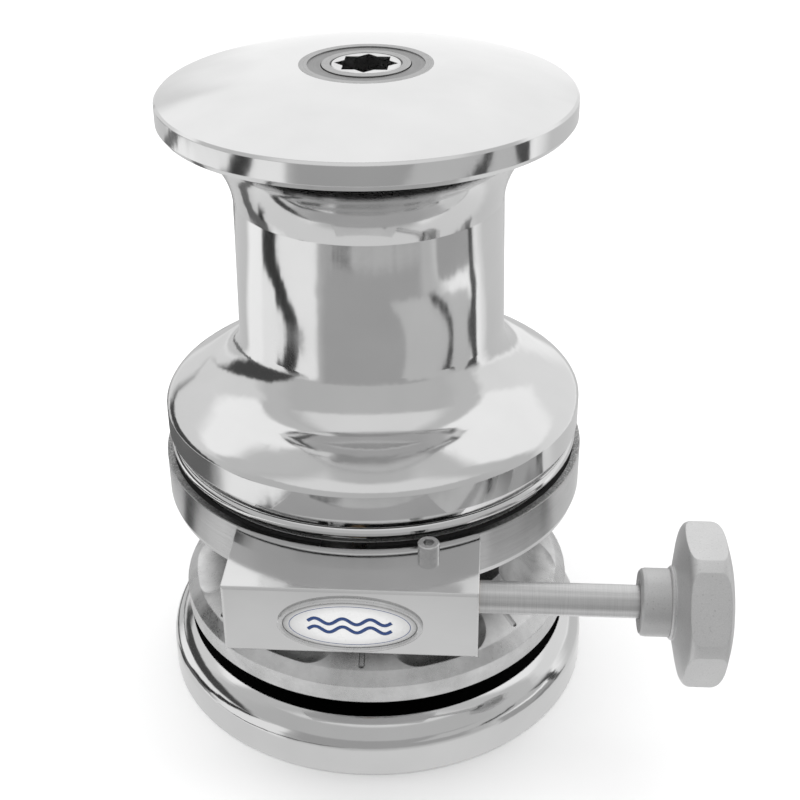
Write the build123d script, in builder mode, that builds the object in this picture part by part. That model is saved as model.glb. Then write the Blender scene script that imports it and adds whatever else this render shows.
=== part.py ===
from build123d import *
from math import asin, cos, radians, sin, tan
import os

os.makedirs("parts", exist_ok=True)

# Vertical anchor windlass: a polished warping drum above a chain gypsy, which a band brake holds.
# Millimetres.  Z is the main shaft's axis and points up, and Z = 0 is the deck face under the base.
# The brake block faces -Y and its hand knob points along +X.

# --- driving dimensions -------------------------------------------------------------------------

# Fits
RUN = 0.05            # radial clearance of a running fit
SLIP = 0.02           # radial clearance of a sliding or located fit
APART = 0.3           # gap between faces of different bodies that meet in use

# Base
BASE_R = 95.0
BASE_H = 24.5
BASE_LIP_R = 85.9     # inner edge of the ring's top
BASE_FLOOR = 14.0     # floor of the ring's recess
SHOULDER_R = 13.8     # rounding between the ring's wall and its inner edge
SHOULDER_H = 13.0
HUB_R = 33.0
HUB_TOP = 25.8
MOUNT_PCD = 150.0
MOUNT_TAP_R = 4.25    # tapping size for M10
MOUNT_TAP_DEPTH = 11.0

# Brake anchor post, at the back of the base
POST_Y = 104.0
POST_BOSS_R = 13.0
POST_SHANK_R = 6.0
POST_COLLAR_R = 11.0
POST_BODY_R = 8.0
POST_PIN_R = 6.0

# Main shaft
SHAFT_R = 15.0        # lower journal and drum journal
SHAFT_COLLAR_R = 26.0
SHAFT_COLLAR_BOTTOM = 26.5
SHAFT_COLLAR_TOP = 31.0
GYPSY_JOURNAL_R = 19.0
GYPSY_JOURNAL_TOP = 99.0
DRUM_JOURNAL_TOP = 232.0
SHAFT_TOP = 250.0
THREAD_R = 12.0
DRIVE_BORE_R = 10.0
DRIVE_BORE_BOTTOM = 1.0
DRIVE_BORE_LENGTH = 22.0
KEY_WIDTH = 6.0

# Bearings: (bore radius, outer radius, height, ball radius, balls)
LOWER_BEARING = (15.0, 27.5, 13.0, 4.2, 10)
LOWER_BEARING_Z = 6.0
TOP_BEARING = (14.0, 26.0, 12.0, 3.5, 12)
TOP_BEARING_Z = 264.3

# Clutch cones
CONE_ANGLE = 14.0     # half-angle of both cones
LOWER_CONE_R = 61.0   # gypsy's lower cone seat at its mouth
LOWER_CONE_BOTTOM = 33.0
LOWER_CONE_TOP = 48.0
UPPER_CONE_R = 79.0   # gypsy's upper cone seat at its mouth
UPPER_CONE_BOTTOM = 98.0
CONE_SCREW_PCD = 140.4
CONE_SCREWS = 6

# Chain gypsy
GYPSY_R = 86.8
GYPSY_BOTTOM = 32.7
GYPSY_RIM_TOP = 41.0
GYPSY_GROOVE_Z = 66.0
GYPSY_FLANK_R = 82.4
GYPSY_FLANK_H = 20.0  # half-height of the chain groove at its mouth
GYPSY_RIDGE_R = 66.0
LINK_GROOVE_R = 52.0
LINK_GROOVE_H = 11.0
POCKETS = 7
POCKET_R = 20.0
POCKET_STRAIGHT = 22.0
SLOT_R = 1.3          # the slots down the ridges
BRAKE_DRUM_R = 83.8
GYPSY_TOP = 112.0
BUSH_R = 23.0

# Brake band
BAND_R = 89.9
BAND_INNER_R = 87.0
LINING_INNER_R = 84.4
BAND_BOTTOM = 91.7
BAND_TOP = 112.4
LEFT_JAW_END = 14.0   # distance of each jaw's front end from the middle plane
RIGHT_JAW_END = 4.0
LUG_R = 10.5

# Brake block and spindle
BLOCK_X = 48.0
BLOCK_FRONT = -117.0
BLOCK_BACK = -78.0
BLOCK_BOTTOM = 83.8
BLOCK_TOP = 113.4
BLOCK_BACK_R = 90.7
SPINDLE_Y = -98.0
SPINDLE_Z = 98.2
SPINDLE_R = 6.35
SPINDLE_THREAD_R = 5.0
SPINDLE_PILOT_R = 4.0
TRUNNION_X = 0.0
TRUNNION_R = 9.0
TRUNNION_H = 15.0
BOSS_R = 11.5
CAVITY_LEFT = -14.0
CAVITY_RIGHT = 21.0   # also the left end of the spindle bush
SPINDLE_LEFT = -25.5
BUSH_OUTER_R = 8.5
RETAINER_X = 28.3
RETAINER_Y = -91.6    # the retaining screw passes the spindle to one side, through its groove
RETAINER_GROOVE_R = 3.8
BLOCK_SCREW_ANGLES = (-107.0, -115.0)
BLOCK_SCREW_Z = 107.0
BADGE_HALF_LENGTH = 27.4
BADGE_HALF_HEIGHT = 12.65
BADGE_RIM = 2.1
BADGE_Z = 97.9
KNOB_LEFT = 119.8
KNOB_RIGHT = 142.0
KNOB_R = 31.2
KNOB_FLAT_R = 28.2
KNOB_FLATS = 6
KNOB_FLAT_TILT = 33.0
COLLAR_LEFT = 108.6
COLLAR_R = 13.0

# Warping drum
FLANGE_R = 82.0
FLANGE_TOP = 265.9
FLANGE_BOTTOM = 257.8
DRUM_TOP = 276.3
BARREL_TOP_R = 54.4
BARREL_BOTTOM_R = 55.5
SKIRT_R = 88.2
SKIRT_TOP = 135.3
SKIRT_BOTTOM = 124.9
DRUM_FOOT = 120.4
DRUM_BORE_R = 80.0

SOCKET_SQUARE = 17.5  # side of each of the two squares that make the eight-point socket
SOCKET_DEPTH = 20.0


# --- helpers ------------------------------------------------------------------------------------

def turned(*points, mode=Mode.ADD):
    """Turn a straight-sided section, given as (radius, height) points, about the shaft's axis."""
    with BuildSketch(Plane.XZ) as section:
        with BuildLine():
            Polyline(*points, close=True)
        make_face()
    revolve(section.sketch, axis=Axis.Z, mode=mode)


def ring(inner, outer, bottom, top, mode=Mode.ADD):
    """A plain ring about the shaft's axis."""
    turned((inner, bottom), (outer, bottom), (outer, top), (inner, top), mode=mode)


def rod(plane, radius, length, mode=Mode.ADD):
    """A round rod that starts on a plane and runs along its normal."""
    with BuildSketch(plane) as end:
        Circle(radius)
    extrude(end.sketch, amount=length, mode=mode)


def along_x(x):
    """A plane square to the brake spindle, at x, with its normal along +X."""
    return Plane((x, SPINDLE_Y, SPINDLE_Z), x_dir=(0, 1, 0), z_dir=(1, 0, 0))


def upright(x, y, z):
    """A plane parallel to the deck with its centre at (x, y, z)."""
    return Plane((x, y, z))


def finish(part, name):
    """Label a finished piece and write it."""
    part.label = name
    export_step(part, f"parts/{name}.step")


def race(bearing, z, inner):
    """One race of a ball bearing, with its ball groove."""
    bore, outer, height, ball, _ = bearing
    mean = (bore + outer) / 2
    wall = (outer - bore) * 0.27
    if inner:
        ring(bore, bore + wall, z, z + height)
    else:
        ring(outer - wall, outer, z, z + height)
    with BuildSketch(Plane.XZ) as groove:
        with Locations((mean, z + height / 2)):
            Circle(ball + 0.1)
    revolve(groove.sketch, axis=Axis.Z, mode=Mode.SUBTRACT)


def balls(bearing, z):
    """The balls of a bearing, as separate solids."""
    bore, outer, height, ball, count = bearing
    with Locations((0, 0, z + height / 2)):
        with PolarLocations((bore + outer) / 2, count):
            Sphere(ball)


# --- base ---------------------------------------------------------------------------------------

with BuildPart() as base_casting:
    with BuildSketch(Plane.XZ):
        with BuildLine():
            foot = Line((LOWER_BEARING[1] + SLIP, 0), (BASE_R - 0.6, 0))
            heel = Line(foot @ 1, (BASE_R, 0.6))
            wall = Line(heel @ 1, (BASE_R, BASE_H - SHOULDER_H))
            shoulder = RadiusArc(wall @ 1, (BASE_LIP_R, BASE_H), -SHOULDER_R)
            Polyline(
                shoulder @ 1,
                (BASE_LIP_R - 2, BASE_FLOOR),
                (HUB_R, BASE_FLOOR),
                (HUB_R, HUB_TOP),
                (SHAFT_COLLAR_R - 2, HUB_TOP),
                (SHAFT_COLLAR_R - 2, LOWER_BEARING_Z + LOWER_BEARING[2]),
                (LOWER_BEARING[1] + SLIP, LOWER_BEARING_Z + LOWER_BEARING[2]),
                foot @ 0,
            )
        make_face()
    revolve(axis=Axis.Z)
    # Rear boss for the brake anchor post
    with BuildSketch():
        with Locations((0, POST_Y)):
            Circle(POST_BOSS_R)
        with Locations((0, POST_Y - 8)):
            Rectangle(2 * POST_BOSS_R, 16)
    extrude(amount=BASE_H - 0.4)
    rod(upright(0, POST_Y, 7), POST_SHANK_R + SLIP, BASE_H, mode=Mode.SUBTRACT)
    # Groove for the bearing's retaining ring
    ring(LOWER_BEARING[1], LOWER_BEARING[1] + 1.6, 4.2, 5.8, mode=Mode.SUBTRACT)
    # Tapped holes for the deck studs
    with BuildSketch():
        with PolarLocations(MOUNT_PCD / 2, 4, start_angle=45):
            Circle(MOUNT_TAP_R)
    extrude(amount=MOUNT_TAP_DEPTH, mode=Mode.SUBTRACT)
finish(base_casting.part, "base_casting")

with BuildPart() as lower_bearing_outer_race:
    race(LOWER_BEARING, LOWER_BEARING_Z, inner=False)
finish(lower_bearing_outer_race.part, "lower_bearing_outer_race")

with BuildPart() as lower_bearing_balls:
    balls(LOWER_BEARING, LOWER_BEARING_Z)
finish(lower_bearing_balls.part, "lower_bearing_balls")

with BuildPart() as bearing_retaining_ring:
    with BuildSketch(Plane.XY.offset(4.3)):
        Circle(LOWER_BEARING[1] + 1.5)
        Circle(LOWER_BEARING[1] - 3, mode=Mode.SUBTRACT)
        with Locations((0, LOWER_BEARING[1])):
            Rectangle(9, 10, mode=Mode.SUBTRACT)
    extrude(amount=1.4)
finish(bearing_retaining_ring.part, "bearing_retaining_ring")

with BuildPart() as shaft_seal:
    seal_bottom = LOWER_BEARING_Z + LOWER_BEARING[2] + 0.6
    turned(
        (SHAFT_R + RUN, seal_bottom + 1.5),
        (SHAFT_R + 2, seal_bottom),
        (SHAFT_COLLAR_R - 2, seal_bottom),
        (SHAFT_COLLAR_R - 2, HUB_TOP - 0.2),
        (SHAFT_R + 3.5, HUB_TOP - 0.2),
        (SHAFT_R + 3.5, seal_bottom + 3),
    )
finish(shaft_seal.part, "shaft_seal")

with BuildPart() as anchor_post:
    rod(upright(0, POST_Y, 7.5), POST_SHANK_R, BASE_H - 0.4 - 7.5)
    rod(upright(0, POST_Y, BASE_H - 0.4), POST_COLLAR_R, 5)
    rod(upright(0, POST_Y, BASE_H), POST_BODY_R, BAND_BOTTOM - 0.4 - BASE_H)
    rod(upright(0, POST_Y, BAND_BOTTOM - 1), POST_PIN_R, BAND_TOP - BAND_BOTTOM + 2)
    rod(upright(0, POST_Y, BAND_TOP), POST_PIN_R - 1, 8)
    chamfer(anchor_post.edges().group_by(Axis.Z)[-1], 0.8)
finish(anchor_post.part, "anchor_post")

with BuildPart() as anchor_post_washer:
    with BuildSketch(upright(0, POST_Y, BAND_TOP + 1)):
        Circle(LUG_R)
        Circle(POST_PIN_R - 1 + SLIP, mode=Mode.SUBTRACT)
    extrude(amount=1.2)
finish(anchor_post_washer.part, "anchor_post_washer")

with BuildPart() as anchor_post_nut:
    with BuildSketch(upright(0, POST_Y, BAND_TOP + 2.2)):
        RegularPolygon(8.5, 6, major_radius=False)
        Circle(POST_PIN_R - 1 + SLIP, mode=Mode.SUBTRACT)
    extrude(amount=5)
finish(anchor_post_nut.part, "anchor_post_nut")

with BuildPart() as chain_stripper:
    # Clamp ring round the post, with a finger that reaches into the gypsy's groove
    with BuildSketch(upright(0, POST_Y, GYPSY_GROOVE_Z - 6)):
        Circle(POST_BODY_R + 5.5)
    extrude(amount=12)
    with BuildSketch(upright(0, 0, GYPSY_GROOVE_Z - 4)):
        with BuildLine():
            Polyline(
                (-6, POST_Y),
                (-5, LINK_GROOVE_R + 8),
                (-2, LINK_GROOVE_R + 3),
                (2, LINK_GROOVE_R + 3),
                (5, LINK_GROOVE_R + 8),
                (6, POST_Y),
                close=True,
            )
        make_face()
    extrude(amount=8)
    rod(upright(0, POST_Y, GYPSY_GROOVE_Z - 7), POST_BODY_R + SLIP, 14, mode=Mode.SUBTRACT)
    rod(Plane((0, POST_Y, GYPSY_GROOVE_Z), z_dir=(0, 1, 0)), 2.5 + SLIP, 20, mode=Mode.SUBTRACT)
finish(chain_stripper.part, "chain_stripper")

with BuildPart() as stripper_screw:
    screw_plane = Plane((0, POST_Y + POST_BODY_R + 0.1, GYPSY_GROOVE_Z), z_dir=(0, 1, 0))
    rod(screw_plane, 2.5, 8)
    with BuildSketch(screw_plane.offset(5)):
        RegularPolygon(1.5, 6)
    extrude(amount=3, mode=Mode.SUBTRACT)
finish(stripper_screw.part, "stripper_screw")


# --- main shaft ---------------------------------------------------------------------------------

KEY_DEPTH = 3.0
CONE_KEY_Z = (SHAFT_COLLAR_TOP + 0.5, LOWER_CONE_TOP - 1)
DRUM_KEY_Z = (112.0, 129.0)

with BuildPart() as main_shaft:
    turned(
        (0, DRIVE_BORE_BOTTOM),
        (SHAFT_R, DRIVE_BORE_BOTTOM),
        (SHAFT_R, SHAFT_COLLAR_BOTTOM),
        (SHAFT_COLLAR_R, SHAFT_COLLAR_BOTTOM),
        (SHAFT_COLLAR_R, SHAFT_COLLAR_TOP),
        (GYPSY_JOURNAL_R, SHAFT_COLLAR_TOP),
        (GYPSY_JOURNAL_R, GYPSY_JOURNAL_TOP),
        (SHAFT_R, GYPSY_JOURNAL_TOP),
        (SHAFT_R, DRUM_JOURNAL_TOP),
        (THREAD_R, DRUM_JOURNAL_TOP),
        (THREAD_R, SHAFT_TOP - 1),
        (THREAD_R - 1, SHAFT_TOP),
        (0, SHAFT_TOP),
    )
    # Keyed drive bore, open at the bottom
    with BuildSketch(Plane.XY.offset(DRIVE_BORE_BOTTOM)):
        Circle(DRIVE_BORE_R)
        with Locations((DRIVE_BORE_R, 0)):
            Rectangle(5, KEY_WIDTH)
    extrude(amount=DRIVE_BORE_LENGTH, mode=Mode.SUBTRACT)
    # Key seats for the lower cone and the drum
    for (bottom, top), radius in ((CONE_KEY_Z, GYPSY_JOURNAL_R), (DRUM_KEY_Z, SHAFT_R)):
        with BuildSketch(Plane.XY.offset(bottom)):
            with Locations((radius, 0)):
                Rectangle(2 * KEY_DEPTH, KEY_WIDTH)
        extrude(amount=top - bottom, mode=Mode.SUBTRACT)
    # Groove for the shaft's retaining ring
    ring(SHAFT_R - 1.2, SHAFT_R + 1, 4.3, 5.9, mode=Mode.SUBTRACT)
finish(main_shaft.part, "main_shaft")

with BuildPart() as lower_bearing_inner_race:
    race(LOWER_BEARING, LOWER_BEARING_Z, inner=True)
finish(lower_bearing_inner_race.part, "lower_bearing_inner_race")

with BuildPart() as shaft_circlip:
    with BuildSketch(Plane.XY.offset(4.4)):
        Circle(SHAFT_R + 2.2)
        Circle(SHAFT_R - 1.1, mode=Mode.SUBTRACT)
        with Locations((0, SHAFT_R)):
            Rectangle(7, 8, mode=Mode.SUBTRACT)
    extrude(amount=1.4)
finish(shaft_circlip.part, "shaft_circlip")


def key(z_range, radius):
    """A square key standing half out of the shaft."""
    bottom, top = z_range
    with BuildSketch(Plane.XY.offset(bottom)) as outline:
        with Locations((radius, 0)):
            Rectangle(2 * KEY_DEPTH, KEY_WIDTH)
    extrude(outline.sketch, amount=top - bottom)


def keyway(z_range, radius):
    """The slot that a key runs in, open at both ends of the hub."""
    bottom, top = z_range
    with BuildSketch(Plane.XY.offset(bottom - 20)) as slot:
        with Locations((radius, 0)):
            Rectangle(2 * KEY_DEPTH + 0.1, KEY_WIDTH + 0.1)
    extrude(slot.sketch, amount=top - bottom + 40, mode=Mode.SUBTRACT)


with BuildPart() as cone_key:
    key(CONE_KEY_Z, GYPSY_JOURNAL_R)
finish(cone_key.part, "cone_key")

with BuildPart() as drum_key:
    key(DRUM_KEY_Z, SHAFT_R)
finish(drum_key.part, "drum_key")


def seat_radius(mouth_r, mouth_z, z):
    """Radius of a cone seat at height z, narrowing away from its mouth."""
    return mouth_r - abs(z - mouth_z) * tan(radians(CONE_ANGLE))


CONE_GAP = APART / cos(radians(CONE_ANGLE))

with BuildPart() as lower_clutch_cone:
    lower_cone_top = LOWER_CONE_TOP - APART
    turned(
        (GYPSY_JOURNAL_R + SLIP, SHAFT_COLLAR_TOP),
        (SHAFT_COLLAR_R + 2, SHAFT_COLLAR_TOP),
        (SHAFT_COLLAR_R + 6, LOWER_CONE_BOTTOM + 4),
        (LOWER_CONE_R - 12, LOWER_CONE_BOTTOM + 4),
        (LOWER_CONE_R - 8, LOWER_CONE_BOTTOM),
        (LOWER_CONE_R - CONE_GAP, LOWER_CONE_BOTTOM),
        (seat_radius(LOWER_CONE_R, LOWER_CONE_BOTTOM, lower_cone_top) - CONE_GAP, lower_cone_top),
        (GYPSY_JOURNAL_R + SLIP, lower_cone_top),
    )
    keyway(CONE_KEY_Z, GYPSY_JOURNAL_R)
finish(lower_clutch_cone.part, "lower_clutch_cone")

SPRING_BOTTOM = GYPSY_JOURNAL_TOP
SPRING_TOP = 110.0
SPRING_WIRE_R = 1.1
SPRING_R = 17.6

with BuildPart() as release_spring:
    with BuildLine():
        coil = Helix(
            pitch=3.4,
            height=SPRING_TOP - SPRING_BOTTOM - 2 * SPRING_WIRE_R - 0.2,
            radius=SPRING_R,
            center=(0, 0, SPRING_BOTTOM + SPRING_WIRE_R + 0.1),
        )
    with BuildSketch(Plane(coil @ 0, z_dir=coil % 0)):
        Circle(SPRING_WIRE_R)
    sweep()
finish(release_spring.part, "release_spring")


# --- chain gypsy --------------------------------------------------------------------------------

with BuildPart() as chain_gypsy:
    groove_low = GYPSY_GROOVE_Z - LINK_GROOVE_H / 2
    groove_high = GYPSY_GROOVE_Z + LINK_GROOVE_H / 2
    flank_low = GYPSY_GROOVE_Z - GYPSY_FLANK_H
    flank_high = GYPSY_GROOVE_Z + GYPSY_FLANK_H
    turned(
        (BUSH_R, LOWER_CONE_TOP),
        (seat_radius(LOWER_CONE_R, LOWER_CONE_BOTTOM, LOWER_CONE_TOP), LOWER_CONE_TOP),
        (LOWER_CONE_R, LOWER_CONE_BOTTOM),
        (LOWER_CONE_R, GYPSY_BOTTOM),
        (GYPSY_R - 0.3, GYPSY_BOTTOM),
        (GYPSY_R, GYPSY_BOTTOM + 0.3),
        (GYPSY_R, GYPSY_RIM_TOP),
        (GYPSY_FLANK_R, flank_low),
        (GYPSY_RIDGE_R, groove_low - 3),
        (GYPSY_RIDGE_R - 1, groove_low),
        (LINK_GROOVE_R, groove_low),
        (LINK_GROOVE_R, groove_high),
        (GYPSY_RIDGE_R - 1, groove_high),
        (GYPSY_RIDGE_R, groove_high + 3),
        (GYPSY_FLANK_R, flank_high),
        (BRAKE_DRUM_R, flank_high + 2),
        (BRAKE_DRUM_R, GYPSY_TOP),
        (UPPER_CONE_R, GYPSY_TOP),
        (seat_radius(UPPER_CONE_R, GYPSY_TOP, UPPER_CONE_BOTTOM), UPPER_CONE_BOTTOM),
        (BUSH_R, UPPER_CONE_BOTTOM),
    )
    # Scooped pockets that hold the flat links; the ridges between them face the front
    half_pitch = 180 / POCKETS
    for index in range(POCKETS):
        angle = radians(-90 + half_pitch * (2 * index + 1))
        radial = Vector(cos(angle), sin(angle), 0)
        tangent = Vector(-sin(angle), cos(angle), 0)
        centre = radial * (GYPSY_FLANK_R - 2.4) + Vector(0, 0, GYPSY_GROOVE_Z)
        start = centre - tangent * (POCKET_STRAIGHT / 2)
        rod(Plane(start, z_dir=tangent), POCKET_R, POCKET_STRAIGHT, mode=Mode.SUBTRACT)
        with Locations(start, start + tangent * POCKET_STRAIGHT):
            Sphere(POCKET_R, mode=Mode.SUBTRACT)
    # A shallow round-ended slot down the face of each ridge, on both flanks
    slope_in = GYPSY_FLANK_R - GYPSY_RIDGE_R
    slope_rise = flank_low - (groove_low - 3)
    for index in range(POCKETS):
        angle = radians(-90 + index * 360 / POCKETS)
        radial = Vector(cos(angle), sin(angle), 0)
        for flank, rise in ((flank_low, -slope_rise), (flank_high, slope_rise)):
            mouth = radial * GYPSY_FLANK_R + Vector(0, 0, flank)
            slope = radial * -slope_in + Vector(0, 0, rise)
            top, foot = mouth + slope * 0.12, mouth + slope * 0.6
            rod(Plane(top, z_dir=foot - top), SLOT_R, (foot - top).length, mode=Mode.SUBTRACT)
            with Locations(top, foot):
                Sphere(SLOT_R, mode=Mode.SUBTRACT)
finish(chain_gypsy.part, "chain_gypsy")

with BuildPart() as gypsy_bush:
    ring(GYPSY_JOURNAL_R + RUN, BUSH_R, LOWER_CONE_TOP + 0.2, UPPER_CONE_BOTTOM)
finish(gypsy_bush.part, "gypsy_bush")


# --- warping drum -------------------------------------------------------------------------------

with BuildPart() as warping_drum:
    with BuildSketch(Plane.XZ):
        with BuildLine():
            pocket_r = TOP_BEARING[1]
            crown = ThreePointArc((pocket_r, DRUM_TOP), (55, 272.6), (FLANGE_R - 0.9, FLANGE_TOP + 0.3))
            rim = Polyline(crown @ 1, (FLANGE_R, FLANGE_TOP - 0.7), (FLANGE_R, FLANGE_BOTTOM), (80.4, 255.6))
            throat = RadiusArc(rim @ 1, (BARREL_TOP_R, 224), -36)
            barrel = Line(throat @ 1, (BARREL_BOTTOM_R, 168))
            flare = RadiusArc(barrel @ 1, (69.6, 147.3), -22)
            dome = Spline(
                flare @ 1, (78.6, 142.6), (84.4, 139.2), (SKIRT_R, SKIRT_TOP),
                tangents=(flare % 1, (0.45, -1)),
            )
            Polyline(
                dome @ 1,
                (SKIRT_R, SKIRT_BOTTOM),
                (SKIRT_R - 1.6, DRUM_FOOT),
                (DRUM_BORE_R, DRUM_FOOT),
                (DRUM_BORE_R, 126),
                (64, 126),
                (50, 147),
                (46, 158),
                (46, 246),
                (31, 252),
                (31, 236),
                (THREAD_R + 6, 236),
                (THREAD_R + 6, 254),
                (22, 254),
                (22, TOP_BEARING_Z),
                (pocket_r, TOP_BEARING_Z),
                crown @ 0,
            )
        make_face()
    revolve(axis=Axis.Z)
    # Tapped holes for the upper cone's screws
    with BuildSketch(Plane.XY.offset(125)):
        with PolarLocations(CONE_SCREW_PCD / 2, CONE_SCREWS, start_angle=30):
            Circle(2.5 + SLIP)
    extrude(amount=8, mode=Mode.SUBTRACT)
finish(warping_drum.part, "warping_drum")

with BuildPart() as upper_clutch_cone:
    cone_foot = UPPER_CONE_BOTTOM + 0.9
    with BuildSketch(Plane.XZ):
        with BuildLine():
            lower = Polyline(
                (SHAFT_R + RUN, SPRING_TOP),
                (SPRING_R + 2.9, SPRING_TOP),
                (SPRING_R + 2.9, cone_foot + 0.6),
                (26, cone_foot + 0.6),
                (26, 106),
                (62, 106),
                (62, cone_foot),
                (seat_radius(UPPER_CONE_R, GYPSY_TOP, cone_foot) - CONE_GAP, cone_foot),
                (UPPER_CONE_R - CONE_GAP, GYPSY_TOP),
                (UPPER_CONE_R - CONE_GAP, 115.3),
                (86.4, 115.3),
            )
            bead = ThreePointArc(lower @ 1, (87.5, 117.2), (86.3, 119.8))
            Polyline(
                bead @ 1,
                (DRUM_BORE_R - SLIP, 119.8),
                (DRUM_BORE_R - SLIP, 126),
                (64, 126),
                (64, 113),
                (26, 113),
                (26, 130),
                (SHAFT_R + RUN, 130),
                lower @ 0,
            )
        make_face()
    revolve(axis=Axis.Z)
    keyway(DRUM_KEY_Z, SHAFT_R)
    with BuildSketch(Plane.XY.offset(cone_foot)):
        with PolarLocations(CONE_SCREW_PCD / 2, CONE_SCREWS, start_angle=30):
            Circle(2.5 + SLIP)
    extrude(amount=30, mode=Mode.SUBTRACT)
    with BuildSketch(Plane.XY.offset(cone_foot)):
        with PolarLocations(CONE_SCREW_PCD / 2, CONE_SCREWS, start_angle=30):
            Circle(4.25 + SLIP)
    extrude(amount=6, mode=Mode.SUBTRACT)
finish(upper_clutch_cone.part, "upper_clutch_cone")

with BuildPart() as cone_screws:
    with BuildSketch(Plane.XY.offset(cone_foot + 1)):
        with PolarLocations(CONE_SCREW_PCD / 2, CONE_SCREWS, start_angle=30):
            Circle(4.25)
            RegularPolygon(2.3, 6, mode=Mode.SUBTRACT)
    extrude(amount=3)
    with BuildSketch(Plane.XY.offset(cone_foot + 4)):
        with PolarLocations(CONE_SCREW_PCD / 2, CONE_SCREWS, start_angle=30):
            Circle(4.25)
    extrude(amount=2)
    with BuildSketch(Plane.XY.offset(cone_foot + 6)):
        with PolarLocations(CONE_SCREW_PCD / 2, CONE_SCREWS, start_angle=30):
            Circle(2.5)
    extrude(amount=26)
finish(cone_screws.part, "cone_screws")

with BuildPart() as pressure_washer:
    ring(18.5, 21.9, 254, 256)
finish(pressure_washer.part, "pressure_washer")

with BuildPart() as top_bearing_outer_race:
    race(TOP_BEARING, TOP_BEARING_Z, inner=False)
finish(top_bearing_outer_race.part, "top_bearing_outer_race")

with BuildPart() as top_bearing_balls:
    balls(TOP_BEARING, TOP_BEARING_Z)
finish(top_bearing_balls.part, "top_bearing_balls")

with BuildPart() as top_bearing_shield:
    shield_outer = TOP_BEARING[1] - (TOP_BEARING[1] - TOP_BEARING[0]) * 0.27
    shield_inner = TOP_BEARING[0] + (TOP_BEARING[1] - TOP_BEARING[0]) * 0.27 + APART
    ring(shield_inner, shield_outer, DRUM_TOP - 1.2, DRUM_TOP - 0.4)
finish(top_bearing_shield.part, "top_bearing_shield")


# --- clutch nut ---------------------------------------------------------------------------------

with BuildPart() as clutch_nut:
    journal_r = TOP_BEARING[0]
    turned(
        (THREAD_R + RUN, 237),
        (THREAD_R + 4.5, 237),
        (THREAD_R + 4.5, 256 + APART),
        (20.5, 256 + APART),
        (20.5, 262),
        (journal_r + 2, TOP_BEARING_Z),
        (journal_r, TOP_BEARING_Z),
        (journal_r, DRUM_TOP - 0.8),
        (journal_r - 0.8, DRUM_TOP),
        (0, DRUM_TOP),
        (0, 252),
        (THREAD_R + RUN, 252),
    )
    # Eight-point socket for the winch handle
    with BuildSketch(Plane.XY.offset(DRUM_TOP - SOCKET_DEPTH)):
        Rectangle(SOCKET_SQUARE, SOCKET_SQUARE)
        Rectangle(SOCKET_SQUARE, SOCKET_SQUARE, rotation=45)
    extrude(amount=SOCKET_DEPTH + 1, mode=Mode.SUBTRACT)
finish(clutch_nut.part, "clutch_nut")

with BuildPart() as top_bearing_inner_race:
    race(TOP_BEARING, TOP_BEARING_Z, inner=True)
finish(top_bearing_inner_race.part, "top_bearing_inner_race")


# --- band brake ---------------------------------------------------------------------------------

LUG_SPLIT = (BAND_BOTTOM + BAND_TOP) / 2
JAW_SPREAD = 30.0     # how far round the back each lug's arm joins the band
RIVET_R = 1.9
RIVET_FOOT_R = LINING_INNER_R + 1.3
RIVET_LENGTH = 2.8


def jaw_end(side):
    """Distance of a jaw's end from the middle plane: left is -1, right is +1."""
    return LEFT_JAW_END if side < 0 else RIGHT_JAW_END


def lug_heights(side):
    """Bottom and top of a jaw's rear lug: the left lug lies above the right one."""
    if side < 0:
        return LUG_SPLIT + APART / 2, BAND_TOP
    return BAND_BOTTOM, LUG_SPLIT - APART / 2


def half_ring(side, section):
    """Turn a section and keep the part of it on one side, short of the front and back."""
    turned(*section)
    bottom = min(height for _, height in section)
    top = max(height for _, height in section)
    with BuildSketch(Plane.XY.offset(bottom)) as kept:
        with Locations((side * (jaw_end(side) + BAND_R), 0)):
            Rectangle(2 * BAND_R, 4 * BAND_R)
    extrude(kept.sketch, amount=top - bottom, mode=Mode.INTERSECT)


def jaw(side):
    """One brake jaw: its part of the band, and the lug that swings on the anchor post."""
    half_ring(side, (
        (BAND_INNER_R, BAND_BOTTOM),
        (BAND_R - 0.9, BAND_BOTTOM),
        (BAND_R, BAND_BOTTOM + 2.7),
        (BAND_R, BAND_TOP - 0.3),
        (BAND_R - 0.3, BAND_TOP),
        (BAND_INNER_R, BAND_TOP),
    ))
    rivet_holes(side)
    low, high = lug_heights(side)
    arm_root = BAND_R * cos(asin(JAW_SPREAD / BAND_R)) - 0.5
    with BuildSketch(Plane.XY.offset(low)) as lug:
        with BuildLine():
            Polyline(
                (0, POST_Y + LUG_R),
                (side * JAW_SPREAD, arm_root),
                (side * (LEFT_JAW_END + 2), BAND_INNER_R + 0.3),
                (0, POST_Y - LUG_R),
                close=True,
            )
        make_face()
        with Locations((0, POST_Y)):
            Circle(LUG_R)
    extrude(lug.sketch, amount=high - low)
    rod(upright(0, POST_Y, low - 1), POST_PIN_R + 1.5, high - low + 2, mode=Mode.SUBTRACT)


def rivet_planes(side):
    """Planes at the rivets' inner ends, facing outwards."""
    planes = []
    for step in (33, 63, 93, 123, 147):
        angle = radians(90 - side * step)
        radial = Vector(cos(angle), sin(angle), 0)
        for z in (LUG_SPLIT - 5, LUG_SPLIT + 5):
            planes.append(Plane(radial * RIVET_FOOT_R + Vector(0, 0, z), z_dir=radial))
    return planes


def rivet_holes(side):
    """Holes for the rivets, a hair larger, sunk from the lining's inner face."""
    for plane in rivet_planes(side):
        rod(plane.offset(-3), RIVET_R + SLIP, 3 + RIVET_LENGTH + SLIP, mode=Mode.SUBTRACT)


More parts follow.
